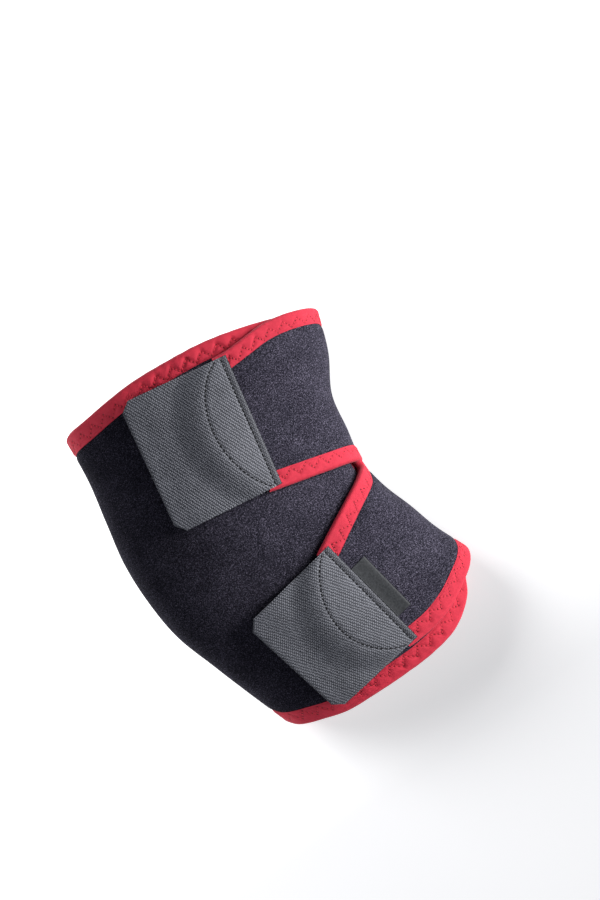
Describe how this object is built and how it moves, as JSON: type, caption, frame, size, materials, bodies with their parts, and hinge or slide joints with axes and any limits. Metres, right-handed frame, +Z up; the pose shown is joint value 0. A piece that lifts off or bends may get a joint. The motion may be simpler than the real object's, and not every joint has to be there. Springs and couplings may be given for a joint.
{
  "type": "wrap-around elbow brace",
  "caption": "Soft neoprene elbow brace that wraps round the bent arm, with bound edges, a notch at the crook and two hook-tape tabs that close it.",
  "frame": {"origin": "on the resting plane under the middle of the elbow, where the brace lies on its far side", "axes": "+Z up from the resting face, +Y up the arm to the upper opening, +X to the crook of the elbow"},
  "size_m": [0.1657, 0.2108, 0.0704],
  "materials": {
    "neoprene": "brushed loop-pile knit over foam, matt",
    "binding": "soft woven tape, matt",
    "hook_tape": "ribbed woven nylon, slight sheen",
    "label_ribbon": "smooth woven ribbon, satin"
  },
  "bodies": {
    "root": {"neoprene_panel": "neoprene", "upper_rim_binding": "binding", "lower_rim_binding": "binding", "crook_notch_binding": "binding", "inner_edge_binding": "binding", "upper_hook_tab": "hook_tape", "lower_hook_tab": "hook_tape", "side_label": "label_ribbon"}
  },
  "joints": []
}
